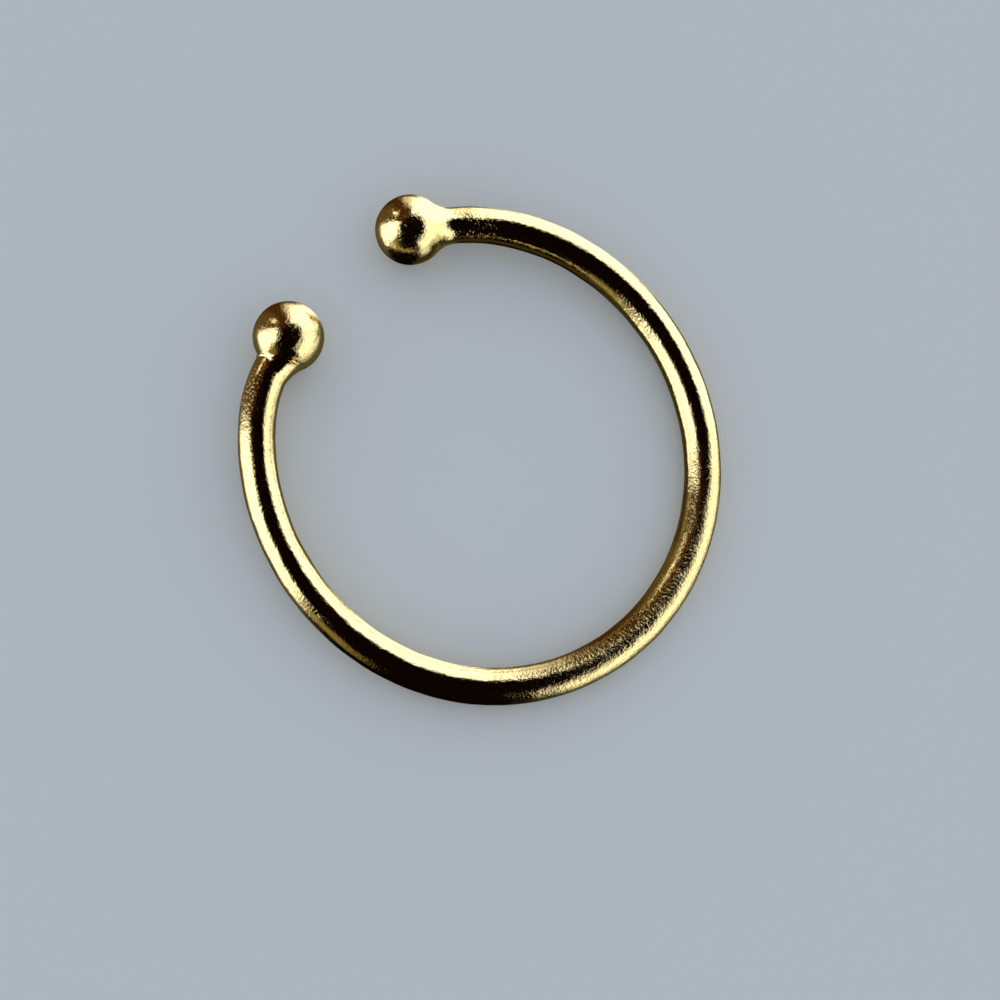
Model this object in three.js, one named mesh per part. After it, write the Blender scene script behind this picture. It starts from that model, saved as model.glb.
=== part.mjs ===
// A plain ear cuff: one length of round wire with a ball fused to each end, bent round to an open,
// slightly oval ring that slips over the edge of the ear. Millimetres, +Z up.
// It lies as it rests on a table, with both balls and the far side of the wire on z = 0.
// +Y points out through the gap, square to the line between the two balls.

import * as THREE from 'three';
import { mergeVertices } from 'three/addons/utils/BufferGeometryUtils.js';

// The wire and its balls.
const WIRE_DIAMETER = 1.0;
const BALL_DIAMETER = 1.92;

// The ring: the clear length and width inside its oval, and the clear gap between the balls.
const INSIDE_LENGTH = 11.8;
const INSIDE_WIDTH = 11.0;
const EAR_GAP = 2.6;

// The long way of the oval is turned from the middle of the gap towards the right ball.
const OVAL_TURN = THREE.MathUtils.degToRad(15.5);

// The last stretch of wire at each end is bent in from the oval by a little.
const END_BEND = THREE.MathUtils.degToRad(18);
const LEFT_SET_IN = 0.11;
const RIGHT_SET_IN = 0.03;

// The radius of the hollow fillet where each ball flows into the wire.
const LEFT_NECK_FILLET = 0.5;
const RIGHT_NECK_FILLET = 0.8;

// How finely the round forms are faceted.
const SIDES = 24;
const WIRE_STEP = 0.5;
const FILLET_STEPS = 4;
const BALL_STEPS = 11;
const HALVINGS = 40;

const FULL_TURN = 2 * Math.PI;
const WIRE_RADIUS = WIRE_DIAMETER / 2;
const BALL_RADIUS = BALL_DIAMETER / 2;

// The ring follows the middle of the wire, so its radii reach half a wire beyond the clear inside.
const MEAN_RADIUS = (INSIDE_LENGTH + INSIDE_WIDTH) / 4 + WIRE_RADIUS;
const OVALITY = (INSIDE_LENGTH - INSIDE_WIDTH) / 4;

const LEFT_NECK = neckLength(LEFT_NECK_FILLET);
const RIGHT_NECK = neckLength(RIGHT_NECK_FILLET);

// From the end of the wire to the middle of the ball, so that a fillet touches both.
function neckLength(fillet) {
  return Math.sqrt((BALL_RADIUS + fillet) ** 2 - (WIRE_RADIUS + fillet) ** 2);
}

// How far the wire comes in from the oval, at an angle on from its end.
function setIn(amount, angleFromEnd) {
  const share = Math.max(0, 1 - angleFromEnd / END_BEND);
  return amount * share ** 3;
}

// The middle line of the wire, from its left end round the far side to its right end. Angles run
// anticlockwise from the middle of the gap.
class WireLine extends THREE.Curve {
  constructor(halfOpening) {
    super();
    this.halfOpening = halfOpening;
  }

  getPoint(t, target = new THREE.Vector3()) {
    const sweep = FULL_TURN - 2 * this.halfOpening;
    const angle = this.halfOpening + t * sweep;
    const oval = MEAN_RADIUS + OVALITY * Math.cos(2 * (angle + OVAL_TURN));
    const radius = oval - setIn(LEFT_SET_IN, t * sweep) - setIn(RIGHT_SET_IN, (1 - t) * sweep);
    return target.set(-radius * Math.sin(angle), radius * Math.cos(angle), 0);
  }
}

// The middles of the balls lie straight on from the two ends of the wire.
function ballCentres(line) {
  const left = line.getPoint(0).addScaledVector(line.getTangent(0), -LEFT_NECK);
  const right = line.getPoint(1).addScaledVector(line.getTangent(1), RIGHT_NECK);
  return { left, right };
}

// The wire whose balls stand EAR_GAP apart. The half opening is found by halving its range.
function bendToGap() {
  let low = Math.atan(Math.max(LEFT_NECK, RIGHT_NECK) / MEAN_RADIUS);
  let high = Math.PI / 2;
  for (let i = 0; i < HALVINGS; i++) {
    const middle = (low + high) / 2;
    const { left, right } = ballCentres(new WireLine(middle));
    if (left.distanceTo(right) < BALL_DIAMETER + EAR_GAP) {
      low = middle;
    } else {
      high = middle;
    }
  }
  return new WireLine(high);
}

// One end of the straight pin, from the wire out over the fillet and the ball to its tip. Each
// point has its radius and its distance on from the end of the wire.
function endProfile(fillet) {
  const neck = neckLength(fillet);
  const filletHeight = WIRE_RADIUS + fillet;
  const filletSweep = Math.atan2(neck, filletHeight);
  const points = [];
  for (let i = 1; i <= FILLET_STEPS; i++) {
    const angle = (filletSweep * i) / FILLET_STEPS;
    points.push(new THREE.Vector2(filletHeight - fillet * Math.cos(angle), fillet * Math.sin(angle)));
  }
  const ballStart = Math.PI / 2 - filletSweep;
  for (let i = 1; i < BALL_STEPS; i++) {
    const angle = ballStart + ((Math.PI - ballStart) * i) / BALL_STEPS;
    points.push(new THREE.Vector2(BALL_RADIUS * Math.sin(angle), neck - BALL_RADIUS * Math.cos(angle)));
  }
  points.push(new THREE.Vector2(0, neck + BALL_RADIUS));
  return points;
}

// The straight pin that the cuff is bent from, with its axis on Y and the left end of its wire at 0.
function straightPin(length) {
  const wireSteps = Math.ceil(length / WIRE_STEP);
  const leftEnd = endProfile(LEFT_NECK_FILLET).map((p) => new THREE.Vector2(p.x, -p.y));
  const rightEnd = endProfile(RIGHT_NECK_FILLET).map((p) => new THREE.Vector2(p.x, length + p.y));
  const wire = [];
  for (let i = 0; i <= wireSteps; i++) {
    wire.push(new THREE.Vector2(WIRE_RADIUS, (length * i) / wireSteps));
  }
  return new THREE.LatheGeometry([...leftEnd.reverse(), ...wire, ...rightEnd], SIDES);
}

// Bends the pin round the line. Both necks and balls stay straight beyond the ends of the wire.
function bendRound(pin, line) {
  const length = line.getLength();
  const up = new THREE.Vector3(0, 0, 1);
  const corner = new THREE.Vector3();
  const outward = new THREE.Vector3();
  const position = pin.getAttribute('position');
  for (let i = 0; i < position.count; i++) {
    corner.fromBufferAttribute(position, i);
    const along = THREE.MathUtils.clamp(corner.y, 0, length);
    const tangent = line.getTangentAt(along / length);
    outward.crossVectors(tangent, up);
    const bent = line.getPointAt(along / length);
    bent.addScaledVector(tangent, corner.y - along);
    bent.addScaledVector(outward, corner.x);
    bent.addScaledVector(up, corner.z);
    position.setXYZ(i, bent.x, bent.y, bent.z);
  }
}

// Lays the ring down: the line between the balls is turned square to Y, then the gap side is raised
// until the balls and the far side of the wire stand on the same level.
function layDown(ring, line) {
  const { left, right } = ballCentres(line);
  const ballLine = right.clone().sub(left);
  const turn = -Math.atan2(ballLine.y, ballLine.x);
  ring.rotateZ(turn);
  ring.computeBoundingBox();
  const farY = ring.boundingBox.min.y + WIRE_RADIUS;
  const ballY = left.applyAxisAngle(new THREE.Vector3(0, 0, 1), turn).y;
  ring.rotateX(Math.asin((BALL_RADIUS - WIRE_RADIUS) / (ballY - farY)));
  ring.computeBoundingBox();
  const { min, max } = ring.boundingBox;
  ring.translate(-(min.x + max.x) / 2, -(min.y + max.y) / 2, -min.z);
}

function makeCuffRing() {
  const line = bendToGap();
  const pin = straightPin(line.getLength());
  pin.deleteAttribute('normal');
  pin.deleteAttribute('uv');
  bendRound(pin, line);
  const ring = mergeVertices(pin);
  layDown(ring, line);
  ring.computeVertexNormals();
  return ring;
}

const polishedGold = new THREE.MeshStandardMaterial({ color: 0xc8a04a, roughness: 0.22, metalness: 1.0 });

const earCuff = new THREE.Group();
const cuffRing = new THREE.Mesh(makeCuffRing(), polishedGold);
cuffRing.name = 'cuff_ring';
earCuff.add(cuffRing);

export default earCuff;
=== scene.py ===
import bpy
import numpy as np
from mathutils import Matrix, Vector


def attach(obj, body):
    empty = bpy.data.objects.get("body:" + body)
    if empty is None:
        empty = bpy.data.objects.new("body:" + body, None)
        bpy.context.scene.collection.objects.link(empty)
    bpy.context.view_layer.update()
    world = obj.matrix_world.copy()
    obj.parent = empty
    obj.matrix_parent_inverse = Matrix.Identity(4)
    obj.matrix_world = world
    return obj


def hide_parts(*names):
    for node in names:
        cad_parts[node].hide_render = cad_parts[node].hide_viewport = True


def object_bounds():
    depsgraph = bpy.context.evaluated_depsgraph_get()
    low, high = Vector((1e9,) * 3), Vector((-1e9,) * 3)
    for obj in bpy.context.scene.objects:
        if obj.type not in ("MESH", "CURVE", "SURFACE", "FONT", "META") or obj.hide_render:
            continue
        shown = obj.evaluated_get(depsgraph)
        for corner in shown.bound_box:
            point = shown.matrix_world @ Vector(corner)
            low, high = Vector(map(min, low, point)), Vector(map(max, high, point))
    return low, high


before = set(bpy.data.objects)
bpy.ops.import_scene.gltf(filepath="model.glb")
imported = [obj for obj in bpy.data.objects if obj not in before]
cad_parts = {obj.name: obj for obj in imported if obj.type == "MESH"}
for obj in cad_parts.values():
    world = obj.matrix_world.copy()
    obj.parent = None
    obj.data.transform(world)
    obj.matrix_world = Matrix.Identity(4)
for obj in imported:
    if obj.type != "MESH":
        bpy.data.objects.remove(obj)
cad_low, cad_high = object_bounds()
MM = 0.001

# The bend. The cuff is one length of gold plated wire, wound round a mandrel to an open oval and
# pressed in a little at each end. The necks and balls beyond the wire's two ends stay straight.
WIRE_RADIUS = 0.5 * MM
BALL_RADIUS = 0.96 * MM
INSIDE_LENGTH = 11.8 * MM
INSIDE_WIDTH = 11.0 * MM
EAR_GAP = 2.6 * MM
OVAL_TURN = np.radians(15.5)
END_BEND = np.radians(18)
LEFT_SET_IN = 0.11 * MM
RIGHT_SET_IN = 0.03 * MM
LEFT_NECK_FILLET = 0.5 * MM
RIGHT_NECK_FILLET = 0.8 * MM
MEAN_RADIUS = (INSIDE_LENGTH + INSIDE_WIDTH) / 4 + WIRE_RADIUS
OVALITY = (INSIDE_LENGTH - INSIDE_WIDTH) / 4
LINE_POINTS = 4001
LEAST_HALF_OPENING = np.radians(10)
MOST_HALF_OPENING = np.radians(90)
OPENING_ERROR = 1e-9
UP = np.array([0.0, 0.0, 1.0])


def neck_length(fillet):
    """Where a fillet touches both wire and ball, the middles make a right angle with the axis:
    neck^2 = (ball + fillet)^2 - (wire + fillet)^2."""
    return np.sqrt((BALL_RADIUS + fillet) ** 2 - (WIRE_RADIUS + fillet) ** 2)


LEFT_NECK = neck_length(LEFT_NECK_FILLET)
RIGHT_NECK = neck_length(RIGHT_NECK_FILLET)


def wire_points(half_opening):
    """The wire's middle line, anticlockwise from its left end. Its radius is the mean radius, plus
    a cosine of twice the angle for the oval, less a cubic over the last stretch at each end, where
    it is pressed in."""
    sweep = 2 * np.pi - 2 * half_opening
    turned = np.linspace(0, sweep, LINE_POINTS)
    angle = half_opening + turned
    radius = MEAN_RADIUS + OVALITY * np.cos(2 * (angle + OVAL_TURN))
    radius -= LEFT_SET_IN * np.clip(1 - turned / END_BEND, 0, 1) ** 3
    radius -= RIGHT_SET_IN * np.clip(1 - (sweep - turned) / END_BEND, 0, 1) ** 3
    return np.stack([-radius * np.sin(angle), radius * np.cos(angle), 0 * angle], axis=-1)


def ball_centres(points):
    """Each ball lies one neck straight on from its end of the wire."""
    left_way = points[0] - points[1]
    right_way = points[-1] - points[-2]
    left = points[0] + left_way * LEFT_NECK / np.linalg.norm(left_way)
    right = points[-1] + right_way * RIGHT_NECK / np.linalg.norm(right_way)
    return left, right


def bend_to_gap():
    """The wire whose balls stand EAR_GAP apart, found by halving the range of the half opening."""
    low, high = LEAST_HALF_OPENING, MOST_HALF_OPENING
    while high - low > OPENING_ERROR:
        middle = (low + high) / 2
        left, right = ball_centres(wire_points(middle))
        if np.linalg.norm(right - left) < 2 * BALL_RADIUS + EAR_GAP:
            low = middle
        else:
            high = middle
    return wire_points(high)


bent_line = bend_to_gap()
line_steps = np.linalg.norm(np.diff(bent_line, axis=0), axis=1)
line_along = np.concatenate([[0.0], np.cumsum(line_steps)])
WIRE_LENGTH = line_along[-1]


def carry_along(along, outward, upward):
    """Carries points of the straight pin round the bend. A point is the line's place at its
    station, plus what lies beyond the wire's end along the tangent, plus its share outward and its
    share upward."""
    tangents = np.gradient(bent_line, line_along, axis=0)
    held = np.clip(along, 0, WIRE_LENGTH)
    place = np.stack([np.interp(held, line_along, bent_line[:, k]) for k in range(3)], axis=-1)
    tangent = np.stack([np.interp(held, line_along, tangents[:, k]) for k in range(3)], axis=-1)
    tangent /= np.linalg.norm(tangent, axis=-1, keepdims=True)
    out = np.cross(tangent, UP)
    place = place + tangent * (along - held)[..., None]
    return place + out * outward[..., None] + UP * upward[..., None]


# The surface. Each end of the wire was melted back to a ball. The right ball flows into the wire
# by an even fillet; the left one sank to one side, so it has a sharp crease outside, a long fillet
# inside, and a fine seam where its skin met the wire.
SIDES = 96
BALL_ROWS = 56
NECK_STEP = 0.011 * MM
WIRE_STEP = 0.05 * MM
BALL_ROWS_END = np.radians(108)
NECK_REACH = 1.5 * MM
CREASE_FILLET = 0.1 * MM
LONG_FILLET = 1.25 * MM
FILLET_SHIFT = 1.6


def neck_radius(distance, fillet):
    """The radius at a distance on from the ball's middle towards the wire: the ball's circle, then
    the fillet's hollow circle between its two touching points, then the plain wire."""
    wire_touch = neck_length(fillet)
    ball_touch = wire_touch * BALL_RADIUS / (BALL_RADIUS + fillet)
    ball = np.sqrt(np.clip(BALL_RADIUS**2 - distance**2, 0, None))
    hollow = WIRE_RADIUS + fillet
    hollow = hollow - np.sqrt(np.clip(fillet**2 - (wire_touch - distance) ** 2, 0, None))
    past_ball = np.where(distance < wire_touch, hollow, WIRE_RADIUS)
    return np.where(distance < ball_touch, ball, past_ball)


def end_stations(neck):
    """Stations from the tip of a ball on to the wire, as distances from the end of the wire: rows
    even in angle round the ball, then even steps over the neck."""
    angle = np.linspace(0, BALL_ROWS_END, BALL_ROWS)[1:]
    ball = -BALL_RADIUS * np.cos(angle)
    steps = np.arange(ball[-1] + NECK_STEP, NECK_REACH, NECK_STEP)
    return np.concatenate([ball, steps]) - neck


left_stations = end_stations(LEFT_NECK)
right_stations = WIRE_LENGTH - end_stations(RIGHT_NECK)[::-1]
wire_stations = np.arange(left_stations[-1] + WIRE_STEP, right_stations[0], WIRE_STEP)
stations = np.concatenate([left_stations, wire_stations, right_stations])
around = np.linspace(-np.pi / 2, 3 * np.pi / 2, SIDES, endpoint=False)
along_grid, around_grid = np.meshgrid(stations, around, indexing="ij")


def pin_radius(along, turn):
    """The radius of the straight pin. The left fillet grows from the crease on the outer side to
    the long fillet on the inner side, by a power of half of one less the cosine of the turn. The
    right one is even."""
    inner_share = (0.5 - 0.5 * np.cos(turn)) ** FILLET_SHIFT
    left_fillet = CREASE_FILLET + (LONG_FILLET - CREASE_FILLET) * inner_share
    left = neck_radius(along + LEFT_NECK, left_fillet)
    right = neck_radius(WIRE_LENGTH - along + RIGHT_NECK, RIGHT_NECK_FILLET)
    return np.where(along < WIRE_LENGTH / 2, left, right)


SKIN_SEED = 11
SKIN_WAVES = 36
SKIN_SHORTEST = 0.22 * MM
SKIN_LONGEST = 1.4 * MM
SKIN_SLOPE = 0.006


def unevenness(points):
    """How far the skin stands off the true form: a sum of plane waves through space, each a cosine
    of the distance along its own direction over its own wavelength, and all equally steep."""
    draw = np.random.default_rng(SKIN_SEED)
    ways = draw.normal(size=(3, SKIN_WAVES))
    ways /= np.linalg.norm(ways, axis=0)
    wavelengths = np.geomspace(SKIN_SHORTEST, SKIN_LONGEST, SKIN_WAVES)
    starts = draw.uniform(0, 2 * np.pi, SKIN_WAVES)
    phase = 2 * np.pi * (points @ ways) / wavelengths + starts
    return (np.cos(phase) * SKIN_SLOPE * wavelengths / (2 * np.pi)).sum(axis=-1)


SEAM_WIDTH = 0.022 * MM
LEFT_SEAM_HEIGHT = 0.02 * MM
LEFT_SEAM_OUTSIDE = 0.87 * MM
LEFT_SEAM_INSIDE = 0.66 * MM
RIGHT_SEAM_HEIGHT = 0.005 * MM
RIGHT_SEAM = 0.8 * MM
SEAM_WANDER = 0.025 * MM
SEAM_FADE = 0.8
SEAM_RAGGEDNESS = 0.5
LEFT_START = 1.0
RIGHT_START = 2.0
HEIGHT_START = 4.0
SEAM_TURNS = np.array([3, 5, 8, 13, 19])


def wander(turn, start):
    """A ragged closed line: cosines of several whole multiples of the turn, weaker as they rise."""
    waves = np.cos(SEAM_TURNS * turn[..., None] + start * SEAM_TURNS) / np.sqrt(SEAM_TURNS)
    return waves.sum(axis=-1)


def seam(along, turn):
    """The fine ridge round each neck, a bell curve across a ragged line. The left one is high on
    the outer side, where the ball's skin folded over the wire, and fades out on the inner side."""
    outer_share = 0.5 + 0.5 * np.cos(turn)
    middle = LEFT_SEAM_INSIDE + (LEFT_SEAM_OUTSIDE - LEFT_SEAM_INSIDE) * outer_share
    off_left = along + LEFT_NECK - middle - SEAM_WANDER * wander(turn, LEFT_START)
    off_right = WIRE_LENGTH - along + RIGHT_NECK - RIGHT_SEAM
    off_right = off_right - SEAM_WANDER * wander(turn, RIGHT_START)
    ragged = 1 + SEAM_RAGGEDNESS * wander(turn, HEIGHT_START)
    left = LEFT_SEAM_HEIGHT * outer_share**SEAM_FADE * ragged
    ridge = left * np.exp(-((off_left / SEAM_WIDTH) ** 2))
    return ridge + RIGHT_SEAM_HEIGHT * np.exp(-((off_right / SEAM_WIDTH) ** 2))


def lay_down(points):
    """Turns the line between the balls square to Y, raises the gap side until the balls and the far
    side of the wire touch one level, and sets the middle over the middle of the frame."""
    left, right = ball_centres(bent_line)
    turn = -np.arctan2(right[1] - left[1], right[0] - left[0])
    spin = np.array(Matrix.Rotation(turn, 3, "Z"))
    far_y = (bent_line @ spin.T)[:, 1].min()
    ball_y = (spin @ left)[1]
    raised = np.arcsin((BALL_RADIUS - WIRE_RADIUS) / (ball_y - far_y))
    laid = points @ spin.T @ np.array(Matrix.Rotation(raised, 3, "X")).T
    low, high = laid.min(axis=0), laid.max(axis=0)
    middle = (np.array(cad_low) + np.array(cad_high)) / 2
    return laid + [middle[0] - (low + high)[0] / 2, middle[1] - (low + high)[1] / 2, -low[2]]


def cuff_mesh():
    """The grid of stations by turns, carried round the bend, with a fan of faces at each tip. The
    two tips are the mesh's last points."""
    radius = pin_radius(along_grid, around_grid)
    form = carry_along(along_grid, radius * np.cos(around_grid), radius * np.sin(around_grid))
    radius += seam(along_grid, around_grid) + unevenness(form)
    skin = carry_along(along_grid, radius * np.cos(around_grid), radius * np.sin(around_grid))
    tips = np.array([-LEFT_NECK - BALL_RADIUS, WIRE_LENGTH + RIGHT_NECK + BALL_RADIUS])
    tips = carry_along(tips, np.zeros(2), np.zeros(2))
    points = lay_down(np.concatenate([skin.reshape(-1, 3), tips]))
    rows = len(stations)
    index = np.arange(rows * SIDES).reshape(rows, SIDES)
    near, far = index[:-1], index[1:]
    quads = np.stack([near, far, np.roll(far, -1, axis=1), np.roll(near, -1, axis=1)], axis=-1)
    first, last = index[0], index[-1]
    left_tip, right_tip = rows * SIDES, rows * SIDES + 1
    left_fan = np.stack([first, np.roll(first, -1), np.full(SIDES, left_tip)], axis=-1)
    right_fan = np.stack([np.roll(last, -1), last, np.full(SIDES, right_tip)], axis=-1)
    faces = quads.reshape(-1, 4).tolist() + left_fan.tolist() + right_fan.tolist()
    mesh = bpy.data.meshes.new("cuff")
    mesh.from_pydata(points, [], faces)
    mesh.shade_smooth()
    return mesh


# The finish: pale yellow gold plating over tumbled brass, bright, with a fine grain that frays
# every reflection. The far side of the ring kept a satin skin with fine strokes across the wire.
# The wire is pitted on its outer side just past the left ball, and scuffed inside near the right.
GOLD = (1.0, 0.89, 0.52, 1.0)
DEEP_GOLD = (1.0, 0.78, 0.34, 1.0)
DEEPEST = 0.4
CLOUDS = 900.0
CLOUD_DETAIL = 4.0
POLISHED = 0.06
SATIN = 0.17
CLOUDED = 0.04
SATIN_STRETCH = (0.35, 0.49, 0.58, 0.72)
STROKE_STRETCH = (0.39, 0.47, 0.55, 0.63)
PITTED_STRETCH = (-0.005, 0.01, 0.05, 0.07)
SCUFFED_STRETCH = (0.955, 0.97, 0.985, 0.995)
SATIN_GRAIN = 1.5
SATIN_STROKES = 1.0
STROKES = 1.5
PITTING = 6.5
SCUFFING = 2.5
CAST_GRAIN = 4.5
GRAIN = 14000.0
MELTED_GRAIN = 13000.0
STROKES_ALONG = 18000.0
STROKES_ACROSS = 5500.0
PITS = 14000.0
GRAIN_DETAIL = 2.0
GRAIN_ROUGHNESS = 0.6
SPARSE = 0.56
SIDE_STEEPNESS = 1.6
INNER_POLISH = 0.75
BUMP_REACH = 0.008 * MM


def smooth_step(share):
    """A share from 0 to 1, made smooth at both ends: its square times three less twice itself."""
    return share**2 * (3 - 2 * share)


def stretch_mask(along, stretch):
    """0 before and after a stretch of the wire, 1 within it, and a smooth step at either side. A
    stretch gives its four places as shares of the wire's length."""
    begin, full, fade, end = stretch
    share = along / WIRE_LENGTH
    rise = np.clip((share - begin) / (full - begin), 0, 1)
    fall = np.clip((end - share) / (end - fade), 0, 1)
    return smooth_step(rise) * smooth_step(fall)


def outer_side(turn):
    """1 on the outer side of the ring, 0 from the top of the wire inwards."""
    return np.clip(SIDE_STEEPNESS * np.cos(turn), 0, 1)


def inner_side(turn):
    """1 on the inner side of the ring, 0 from the top of the wire outwards."""
    return outer_side(turn + np.pi)


def cast_share(along):
    """1 on the balls, which were melted and not drawn, falling smoothly to 0 over the necks."""
    beyond = np.maximum(-along / LEFT_NECK, (along - WIRE_LENGTH) / RIGHT_NECK)
    return smooth_step(np.clip(beyond, 0, 1))


def math_node(tree, operation, *values):
    """Adds a Math node whose inputs are linked sockets or plain numbers, and gives its output."""
    node = tree.nodes.new("ShaderNodeMath")
    node.operation = operation
    for socket, value in zip(node.inputs, values):
        if isinstance(value, bpy.types.NodeSocket):
            tree.links.new(value, socket)
        else:
            socket.default_value = value
    return node.outputs["Value"]


def grain_group():
    """One layer of grain: noise on a place that is first stretched by Scale, cut off flat below
    Least, times Amount."""
    group = bpy.data.node_groups.new("metal_grain", "ShaderNodeTree")
    group.interface.new_socket("Place", in_out="INPUT", socket_type="NodeSocketVector")
    group.interface.new_socket("Scale", in_out="INPUT", socket_type="NodeSocketVector")
    group.interface.new_socket("Least", in_out="INPUT", socket_type="NodeSocketFloat")
    group.interface.new_socket("Amount", in_out="INPUT", socket_type="NodeSocketFloat")
    group.interface.new_socket("Height", in_out="OUTPUT", socket_type="NodeSocketFloat")
    given = group.nodes.new("NodeGroupInput").outputs
    stretched = group.nodes.new("ShaderNodeVectorMath")
    stretched.operation = "MULTIPLY"
    group.links.new(given["Place"], stretched.inputs[0])
    group.links.new(given["Scale"], stretched.inputs[1])
    noise = group.nodes.new("ShaderNodeTexNoise")
    noise.inputs["Scale"].default_value = 1.0
    noise.inputs["Detail"].default_value = GRAIN_DETAIL
    noise.inputs["Roughness"].default_value = GRAIN_ROUGHNESS
    group.links.new(stretched.outputs["Vector"], noise.inputs["Vector"])
    result = group.nodes.new("NodeGroupOutput")
    peaks = math_node(group, "MAXIMUM", noise.outputs["Fac"], given["Least"])
    height = math_node(group, "MULTIPLY", peaks, given["Amount"])
    group.links.new(height, result.inputs["Height"])
    return group


cuff = bpy.data.objects.new("cuff", cuff_mesh())
bpy.context.collection.objects.link(cuff)
pitted_skin = PITTING * stretch_mask(along_grid, PITTED_STRETCH) * outer_side(around_grid)
scuffed_skin = SCUFFING * stretch_mask(along_grid, SCUFFED_STRETCH) * (1 - outer_side(around_grid))
masks = {
    "satin": stretch_mask(along_grid, SATIN_STRETCH) * (1 - INNER_POLISH * inner_side(around_grid)),
    "strokes": stretch_mask(along_grid, STROKE_STRETCH),
    "pitted": pitted_skin + scuffed_skin,
    "cast": cast_share(along_grid),
}
tip_masks = np.zeros(2)
for name, mask in masks.items():
    values = np.append(mask.ravel(), tip_masks)
    cuff.data.attributes.new(name, "FLOAT", "POINT").data.foreach_set("value", values)
across = pin_radius(along_grid, around_grid)
on_pin = np.stack([along_grid, across * np.cos(around_grid), across * np.sin(around_grid)], axis=-1)
on_pin = np.concatenate([on_pin.reshape(-1, 3), np.zeros((2, 3))])
pin_places = cuff.data.attributes.new("place_on_pin", "FLOAT_VECTOR", "POINT")
pin_places.data.foreach_set("vector", on_pin.ravel())

gold = bpy.data.materials.new("polished_gold")
gold.use_nodes = True
plating = gold.node_tree
shader = plating.nodes["Principled BSDF"]
shader.inputs["Metallic"].default_value = 1.0


def read_attribute(name, output):
    """The value that the mesh holds under a name."""
    node = plating.nodes.new("ShaderNodeAttribute")
    node.attribute_name = name
    return node.outputs[output]


metal_grain = grain_group()
in_space = plating.nodes.new("ShaderNodeTexCoord").outputs["Object"]
satin = read_attribute("satin", "Fac")
stroked = read_attribute("strokes", "Fac")
pitted = read_attribute("pitted", "Fac")
cast = read_attribute("cast", "Fac")


def grain_layer(under, place, scale, least, amount):
    """Adds one layer of grain to the height under it."""
    layer = plating.nodes.new("ShaderNodeGroup")
    layer.node_tree = metal_grain
    plating.links.new(place, layer.inputs["Place"])
    layer.inputs["Scale"].default_value = scale
    layer.inputs["Least"].default_value = least
    plating.links.new(amount, layer.inputs["Amount"])
    return math_node(plating, "ADD", under, layer.outputs["Height"])


clouds = plating.nodes.new("ShaderNodeTexNoise")
clouds.inputs["Scale"].default_value = CLOUDS
clouds.inputs["Detail"].default_value = CLOUD_DETAIL
plating.links.new(in_space, clouds.inputs["Vector"])
cloud = clouds.outputs["Fac"]

everywhere = math_node(plating, "MULTIPLY_ADD", satin, SATIN_GRAIN, 1.0)
height = grain_layer(0.0, in_space, (GRAIN, GRAIN, GRAIN), 0.0, everywhere)
rough_cast = math_node(plating, "MULTIPLY", math_node(plating, "MULTIPLY", cast, cloud), CAST_GRAIN)
melted_scale = (MELTED_GRAIN, MELTED_GRAIN, MELTED_GRAIN)
height = grain_layer(height, in_space, melted_scale, SPARSE, rough_cast)
stroke_scale = (STROKES_ALONG, STROKES_ACROSS, STROKES_ACROSS)
faint_strokes = math_node(plating, "MULTIPLY", satin, SATIN_STROKES)
stroke_amount = math_node(plating, "MULTIPLY_ADD", stroked, STROKES, faint_strokes)
along_pin = read_attribute("place_on_pin", "Vector")
height = grain_layer(height, along_pin, stroke_scale, SPARSE, stroke_amount)
height = grain_layer(height, in_space, (PITS, PITS, PITS), SPARSE, pitted)
bump = plating.nodes.new("ShaderNodeBump")
bump.inputs["Distance"].default_value = BUMP_REACH
plating.links.new(height, bump.inputs["Height"])
plating.links.new(bump.outputs["Normal"], shader.inputs["Normal"])

gloss = math_node(plating, "MULTIPLY_ADD", satin, SATIN - POLISHED, POLISHED)
gloss = math_node(plating, "MULTIPLY_ADD", cloud, CLOUDED, gloss)
plating.links.new(gloss, shader.inputs["Roughness"])
tint = plating.nodes.new("ShaderNodeMix")
tint.data_type = "RGBA"
tint.inputs["A"].default_value = GOLD
tint.inputs["B"].default_value = DEEP_GOLD
plating.links.new(math_node(plating, "MULTIPLY", cloud, DEEPEST), tint.inputs["Factor"])
plating.links.new(tint.outputs["Result"], shader.inputs["Base Color"])

cuff.data.materials.append(gold)
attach(cuff, "root")
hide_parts("cuff_ring")

# The floor: a plain pale sheet. The metal doesn't mirror it, because the studio dome below stands
# in for what the metal sees beneath the horizon.
FLOOR_HALF = 4.0
FLOOR_COLOUR = (0.52, 0.57, 0.63, 1.0)
FLOOR_ROUGHNESS = 0.9
floor_mesh = bpy.data.meshes.new("floor")
corners = [(-FLOOR_HALF, -FLOOR_HALF, 0), (FLOOR_HALF, -FLOOR_HALF, 0)]
corners += [(FLOOR_HALF, FLOOR_HALF, 0), (-FLOOR_HALF, FLOOR_HALF, 0)]
floor_mesh.from_pydata(corners, [], [(0, 1, 2, 3)])
floor = bpy.data.objects.new("floor", floor_mesh)
bpy.context.collection.objects.link(floor)
pale = bpy.data.materials.new("pale_floor")
pale.use_nodes = True
sheet = pale.node_tree.nodes["Principled BSDF"]
sheet.inputs["Base Color"].default_value = FLOOR_COLOUR
sheet.inputs["Roughness"].default_value = FLOOR_ROUGHNESS
sheet.inputs["Specular IOR Level"].default_value = 0.0
floor.data.materials.append(pale)
floor.visible_glossy = False
floor.visible_shadow = False

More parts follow.
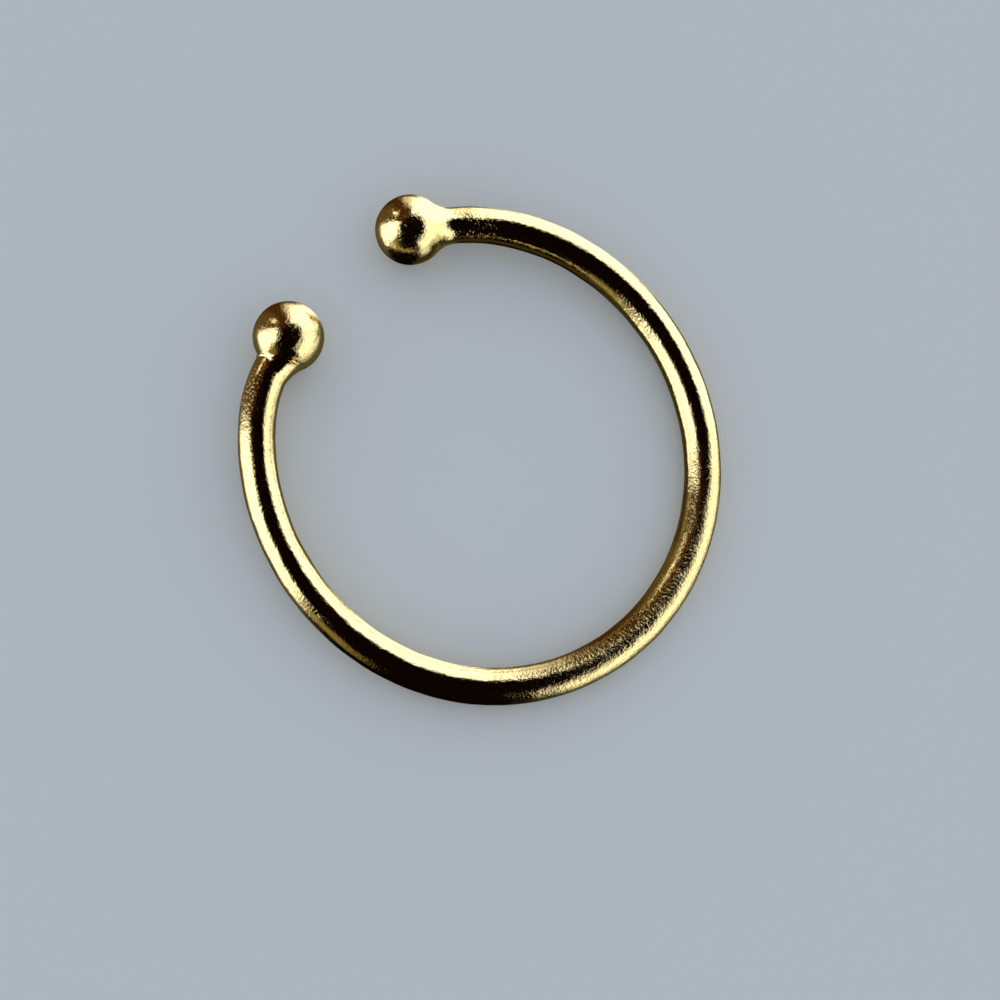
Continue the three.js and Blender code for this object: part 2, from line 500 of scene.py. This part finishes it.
# The card: a dark crescent of card inside the ring, along its right and far sides, out of the
# camera's sight. It is painted shade: it stands in for the floor in the ring's shade, and the inner
# rim of the metal mirrors it as a painted reflection of that shade.
PICTURE_UP = np.radians(45.99)
PICTURE_RIGHT = PICTURE_UP - np.pi / 2
CARD_INNER = 3.7 * MM
CARD_OUTER = 5.2 * MM
CARD_BEGIN = np.radians(-22)
CARD_END = np.radians(110)
CARD_SIDES = 64
# Painted shade: the dark brown that the metal's inner rim mirrors in place of the shaded floor
# inside the ring.
PAINTED_SHADE_COLOUR = (0.08, 0.055, 0.012, 1.0)
card_turn = PICTURE_RIGHT + np.linspace(CARD_BEGIN, CARD_END, CARD_SIDES)
card_ways = np.stack([np.cos(card_turn), np.sin(card_turn), 0 * card_turn], axis=-1)
card_points = np.concatenate([CARD_OUTER * card_ways, CARD_INNER * card_ways[::-1]])
card_mesh = bpy.data.meshes.new("shade_card")
card_mesh.from_pydata(card_points, [], [range(2 * CARD_SIDES)])
shade_card = bpy.data.objects.new("shade_card", card_mesh)
bpy.context.collection.objects.link(shade_card)
painted_shade_card = bpy.data.materials.new("painted_shade_card")
painted_shade_card.use_nodes = True
painted_shade_face = painted_shade_card.node_tree.nodes["Principled BSDF"]
painted_shade_face.inputs["Base Color"].default_value = PAINTED_SHADE_COLOUR
painted_shade_face.inputs["Specular IOR Level"].default_value = 0.0
shade_card.data.materials.append(painted_shade_card)
shade_card.visible_camera = False
shade_card.visible_diffuse = False
shade_card.visible_shadow = False

# The light: a plain pale studio dome. In the metal it shows as a dark room with tall soft windows
# to the right, lower right and left of the picture, which reach below the horizon, and fainter
# glows between and under them. Nothing is lit overhead or at the bottom of the picture.
ROOM_GLOW = (0.003, 0.0012, 0.0006)
DOME_GLOW = (0.8, 0.81, 0.82, 1.0)
WINDOW_SIZES = ["Way", "Half Width", "Top", "Bottom", "Slant"]
WINDOW_SIZES += ["Side Edge", "Top Edge", "Bottom Edge"]


def step_node(tree, value, low, high):
    """A smooth step from 0 at low to 1 at high."""
    node = tree.nodes.new("ShaderNodeMapRange")
    node.interpolation_type = "SMOOTHSTEP"
    tree.links.new(value, node.inputs["Value"])
    tree.links.new(low, node.inputs["From Min"])
    tree.links.new(high, node.inputs["From Max"])
    return node.outputs["Result"]


def window_group():
    """A window on the dome, as a mask of a direction's two angles: Round, anticlockwise seen from
    above, and Down from straight above. Slant lowers the top edge to one side. Each edge is a
    smooth step over twice its own width."""
    group = bpy.data.node_groups.new("soft_window", "ShaderNodeTree")
    group.interface.new_socket("Round", in_out="INPUT", socket_type="NodeSocketFloat")
    group.interface.new_socket("Down", in_out="INPUT", socket_type="NodeSocketFloat")
    for size in WINDOW_SIZES:
        group.interface.new_socket(size, in_out="INPUT", socket_type="NodeSocketFloat")
    group.interface.new_socket("Mask", in_out="OUTPUT", socket_type="NodeSocketFloat")
    given = group.nodes.new("NodeGroupInput").outputs
    down = given["Down"]
    off = math_node(group, "SUBTRACT", given["Round"], given["Way"])
    side = math_node(group, "WRAP", off, np.pi, -np.pi)
    aside = math_node(group, "ABSOLUTE", side)
    wide = math_node(group, "ADD", given["Half Width"], given["Side Edge"])
    narrow = math_node(group, "SUBTRACT", given["Half Width"], given["Side Edge"])
    within = math_node(group, "SUBTRACT", 1.0, step_node(group, aside, narrow, wide))
    tilted = math_node(group, "ADD", down, math_node(group, "MULTIPLY", given["Slant"], side))
    above = math_node(group, "SUBTRACT", given["Top"], given["Top Edge"])
    below = math_node(group, "ADD", given["Top"], given["Top Edge"])
    lit = step_node(group, tilted, above, below)
    low = math_node(group, "ADD", given["Bottom"], given["Bottom Edge"])
    high = math_node(group, "SUBTRACT", given["Bottom"], given["Bottom Edge"])
    stands = math_node(group, "SUBTRACT", 1.0, step_node(group, down, high, low))
    result = group.nodes.new("NodeGroupOutput")
    mask = math_node(group, "MULTIPLY", math_node(group, "MULTIPLY", within, lit), stands)
    group.links.new(mask, result.inputs["Mask"])
    return group


soft_window = window_group()
world = bpy.data.worlds.new("studio")
bpy.context.scene.world = world
world.cycles.sampling_method = "NONE"
world.use_nodes = True
studio = world.node_tree
looking = studio.nodes.new("ShaderNodeSeparateXYZ")
direction = studio.nodes.new("ShaderNodeTexCoord").outputs["Generated"]
studio.links.new(direction, looking.inputs["Vector"])
looking_round = math_node(studio, "ARCTAN2", looking.outputs["Y"], looking.outputs["X"])
looking_down = math_node(studio, "ARCCOSINE", looking.outputs["Z"])


def add_window(under, name, glow, colour, **sizes):
    """Adds one window's light to what is under it. Sizes are in degrees, except the slant, which is
    degrees for each degree and none if not given. Way counts anticlockwise from the right of the
    picture."""
    window = studio.nodes.new("ShaderNodeGroup")
    window.node_tree = soft_window
    window.label = name
    studio.links.new(looking_round, window.inputs["Round"])
    studio.links.new(looking_down, window.inputs["Down"])
    for size, value in sizes.items():
        socket = window.inputs[size.replace("_", " ").title()]
        socket.default_value = value if size == "slant" else np.radians(value)
    window.inputs["Way"].default_value += PICTURE_RIGHT
    lit = studio.nodes.new("ShaderNodeVectorMath")
    lit.operation = "SCALE"
    lit.inputs["Vector"].default_value = [glow * share for share in colour]
    studio.links.new(window.outputs["Mask"], lit.inputs["Scale"])
    total = studio.nodes.new("ShaderNodeVectorMath")
    total.operation = "ADD"
    studio.links.new(under, total.inputs[0])
    studio.links.new(lit.outputs["Vector"], total.inputs[1])
    return total.outputs["Vector"]


dark = studio.nodes.new("ShaderNodeCombineXYZ")
for socket, value in zip(dark.inputs, ROOM_GLOW):
    socket.default_value = value
room = dark.outputs["Vector"]
room = add_window(
    room, "right_window", glow=1.55, colour=(1.0, 0.97, 0.9), way=50.5, half_width=35.5,
    top=39, bottom=113, slant=0.2, side_edge=3, top_edge=4, bottom_edge=11,
)
room = add_window(
    room, "right_skirt", glow=0.7, colour=(1.0, 0.94, 0.72), way=92, half_width=7,
    top=64, bottom=118, side_edge=4, top_edge=8, bottom_edge=12,
)
room = add_window(
    room, "near_window", glow=1.25, colour=(1.0, 0.96, 0.82), way=-25, half_width=38,
    top=52, bottom=110, slant=0.25, side_edge=5, top_edge=6, bottom_edge=16,
)
room = add_window(
    room, "left_window", glow=1.55, colour=(1.0, 0.97, 0.88), way=190.5, half_width=23.5,
    top=42, bottom=117, slant=-0.35, side_edge=3, top_edge=3, bottom_edge=10,
)
room = add_window(
    room, "left_skirt", glow=0.2, colour=(1.0, 0.75, 0.25), way=224, half_width=12,
    top=72, bottom=112, side_edge=7, top_edge=8, bottom_edge=8,
)
room = add_window(
    room, "far_wall", glow=0.05, colour=(1.0, 0.36, 0.05), way=127, half_width=38,
    top=25, bottom=165, side_edge=5, top_edge=8, bottom_edge=12,
)
room = add_window(
    room, "far_floor", glow=0.05, colour=(1.0, 0.88, 0.4), way=145, half_width=20,
    top=68, bottom=165, side_edge=10, top_edge=8, bottom_edge=12,
)
room = add_window(
    room, "far_lamp", glow=2.5, colour=(1.0, 0.9, 0.62), way=138, half_width=3,
    top=58, bottom=73, side_edge=2, top_edge=3, bottom_edge=3,
)
room = add_window(
    room, "right_floor", glow=0.08, colour=(1.0, 0.9, 0.48), way=15, half_width=77,
    top=75, bottom=168, side_edge=12, top_edge=14, bottom_edge=12,
)
room = add_window(
    room, "left_floor", glow=0.08, colour=(1.0, 0.9, 0.48), way=188, half_width=28,
    top=100, bottom=168, side_edge=8, top_edge=14, bottom_edge=12,
)
room = add_window(
    room, "floor_light", glow=1.2, colour=(1.0, 0.97, 0.88), way=64, half_width=13,
    top=110, bottom=150, side_edge=6, top_edge=8, bottom_edge=8,
)
lamp = studio.nodes["Background"]
studio.links.new(room, lamp.inputs["Color"])
dome = studio.nodes.new("ShaderNodeBackground")
dome.inputs["Color"].default_value = DOME_GLOW
path = studio.nodes.new("ShaderNodeLightPath")
seen = studio.nodes.new("ShaderNodeMixShader")
studio.links.new(path.outputs["Is Glossy Ray"], seen.inputs["Fac"])
studio.links.new(dome.outputs["Background"], seen.inputs[1])
studio.links.new(lamp.outputs["Background"], seen.inputs[2])
studio.links.new(seen.outputs["Shader"], studio.nodes["World Output"].inputs["Surface"])
bpy.context.scene.view_settings.view_transform = "Standard"

# The camera stands where the photograph was taken from: almost straight above, and turned so that
# the gap of the cuff is at the upper left of the picture.
LENS = 74.16
LEAN = np.radians(13.0)
LEAN_WAY = np.radians(-163.7)
DISTANCE = 56.163 * MM
TARGET = np.array([-0.428, -1.189, 0.0]) * MM
CLIP_START = 1 * MM
CLIP_END = 10.0
back = np.array([np.sin(LEAN) * np.cos(LEAN_WAY), np.sin(LEAN) * np.sin(LEAN_WAY), np.cos(LEAN)])
picture_up = np.array([np.cos(PICTURE_UP), np.sin(PICTURE_UP), 0.0])
picture_up -= back * (picture_up @ back)
picture_up /= np.linalg.norm(picture_up)
camera = bpy.data.objects.new("camera", bpy.data.cameras.new("camera"))
bpy.context.collection.objects.link(camera)
camera.data.lens = LENS
camera.data.clip_start = CLIP_START
camera.data.clip_end = CLIP_END
picture_right = np.cross(picture_up, back)
place = np.eye(4)
place[:3, :] = np.stack([picture_right, picture_up, back, TARGET + back * DISTANCE], axis=1)
camera.matrix_world = Matrix(place.tolist())
bpy.context.scene.camera = camera
